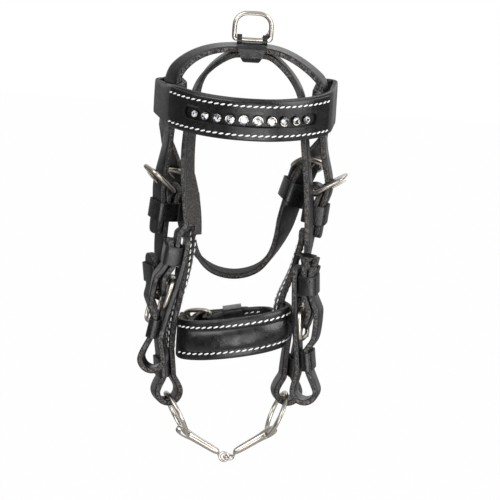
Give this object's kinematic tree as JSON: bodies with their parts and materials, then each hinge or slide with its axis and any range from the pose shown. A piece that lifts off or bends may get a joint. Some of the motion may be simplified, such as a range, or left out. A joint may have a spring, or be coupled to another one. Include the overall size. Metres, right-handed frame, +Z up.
{
  "type": "miniature bridle",
  "caption": "Miniature black leather bridle hung on a nickel D ring, with a crystal-set browband, padded noseband, buckled cheek straps and a jointed bit.",
  "frame": {"origin": "inside of the hanging ring's top, where a hook or cord carries it", "axes": "+Z up, the front faces -Y, +X to the right as seen from the front"},
  "size_m": [0.0824, 0.0497, 0.1872],
  "materials": {
    "black_leather": "black strap leather with a satin grain",
    "padded_leather": "thin smooth black leather over padding",
    "nickel": "bright nickel plate",
    "crystal": "clear faceted stones in bright cups"
  },
  "bodies": {
    "hanging_ring": {"hang_ring": "nickel"},
    "headstall": {"bit_buckle_chape_left": "black_leather", "bit_buckle_chape_right": "black_leather", "bit_buckle_frame_left": "nickel", "bit_buckle_frame_right": "nickel", "bit_buckle_tongue_left": "nickel", "bit_buckle_tongue_right": "nickel", "bit_lower_keeper_left": "black_leather", "bit_lower_keeper_right": "black_leather", "bit_upper_keeper_left": "black_leather", "bit_upper_keeper_right": "black_leather", "browband": "black_leather", "browband_overlay": "black_leather", "cheek_buckle_frame_left": "nickel", "cheek_buckle_frame_right": "nickel", "cheek_buckle_tongue_left": "nickel", "cheek_buckle_tongue_right": "nickel", "cheekpiece_left": "black_leather", "cheekpiece_right": "black_leather", "chin_buckle_frame": "nickel", "chin_buckle_tongue": "nickel", "chin_strap_left": "black_leather", "chin_strap_right": "black_leather", "crown_loop": "black_leather", "crystal_chain": "crystal", "headpiece": "black_leather", "inner_headpiece": "black_leather", "noseband": "black_leather", "noseband_hanger_left": "black_leather", "noseband_hanger_right": "black_leather", "noseband_pad": "padded_leather", "second_buckle_chape_left": "black_leather", "second_buckle_chape_right": "black_leather", "second_buckle_frame_left": "nickel", "second_buckle_frame_right": "nickel", "second_buckle_tongue_left": "nickel", "second_buckle_tongue_right": "nickel", "second_cheekpiece_left": "black_leather", "second_cheekpiece_right": "black_leather", "second_lower_keeper_left": "black_leather", "second_lower_keeper_right": "black_leather", "second_upper_keeper_left": "black_leather", "second_upper_keeper_right": "black_leather", "throatlash": "black_leather", "throatlash_buckle_frame_left": "nickel", "throatlash_buckle_frame_right": "nickel", "throatlash_buckle_tongue_left": "nickel", "throatlash_buckle_tongue_right": "nickel"},
    "left_bit_ring": {"bit_ring_left": "nickel"},
    "right_bit_ring": {"bit_ring_right": "nickel"},
    "left_bit_arm": {"bit_arm_left": "nickel"},
    "right_bit_arm": {"bit_arm_right": "nickel"},
    "left_cheek_keeper": {"cheek_keeper_left": "black_leather"},
    "right_cheek_keeper": {"cheek_keeper_right": "black_leather"},
    "left_throatlash_keeper": {"throatlash_keeper_left": "black_leather"},
    "right_throatlash_keeper": {"throatlash_keeper_right": "black_leather"},
    "loose_chin_keeper": {"chin_keeper": "black_leather"}
  },
  "joints": [
    {"name": "crown_hinge", "type": "hinge", "parent": "hanging_ring", "child": "headstall", "pos_m": [0, 0, -0.00992], "axis": [1, 0, 0], "range_deg": [-75, 75]},
    {"name": "left_bit_ring_hinge", "type": "hinge", "parent": "headstall", "child": "left_bit_ring", "pos_m": [-0.02574, 0.0033, -0.15791], "axis": [0, -1, 0], "range_deg": [-5, 5]},
    {"name": "right_bit_ring_hinge", "type": "hinge", "parent": "headstall", "child": "right_bit_ring", "pos_m": [0.02225, 0.0033, -0.15524], "axis": [0, 1, 0], "range_deg": [-5, 5]},
    {"name": "left_bit_arm_hinge", "type": "hinge", "parent": "left_bit_ring", "child": "left_bit_arm", "pos_m": [-0.01705, 0.0033, -0.17413], "axis": [0, -1, 0], "range_deg": [-13.6, 13.6]},
    {"name": "right_bit_arm_hinge", "type": "hinge", "parent": "right_bit_ring", "child": "right_bit_arm", "pos_m": [0.01541, 0.0033, -0.17232], "axis": [0, 1, 0], "range_deg": [-13.6, 13.6]},
    {"name": "left_cheek_keeper_slide", "type": "slide", "parent": "headstall", "child": "left_cheek_keeper", "axis": [-0.0915, 0, -0.9958], "range_m": [0, 0.004]},
    {"name": "right_cheek_keeper_slide", "type": "slide", "parent": "headstall", "child": "right_cheek_keeper", "axis": [-0.0952, 0, -0.9955], "range_m": [0, 0.004]},
    {"name": "left_throatlash_keeper_slide", "type": "slide", "parent": "headstall", "child": "left_throatlash_keeper", "axis": [0.1315, 0, -0.9913], "range_m": [0, 0.0015]},
    {"name": "right_throatlash_keeper_slide", "type": "slide", "parent": "headstall", "child": "right_throatlash_keeper", "axis": [-0.2729, 0, -0.962], "range_m": [0, 0.0015]},
    {"name": "chin_keeper_slide", "type": "slide", "parent": "headstall", "child": "loose_chin_keeper", "axis": [0.98, 0.0702, 0.1862], "range_m": [0, 0.001]}
  ],
  "couplings": [
    {"joint": "right_bit_ring_hinge", "follows": "left_bit_ring_hinge", "ratio": 1},
    {"joint": "left_bit_arm_hinge", "follows": "left_bit_ring_hinge", "ratio": -2.695},
    {"joint": "right_bit_arm_hinge", "follows": "left_bit_ring_hinge", "ratio": -2.695}
  ]
}
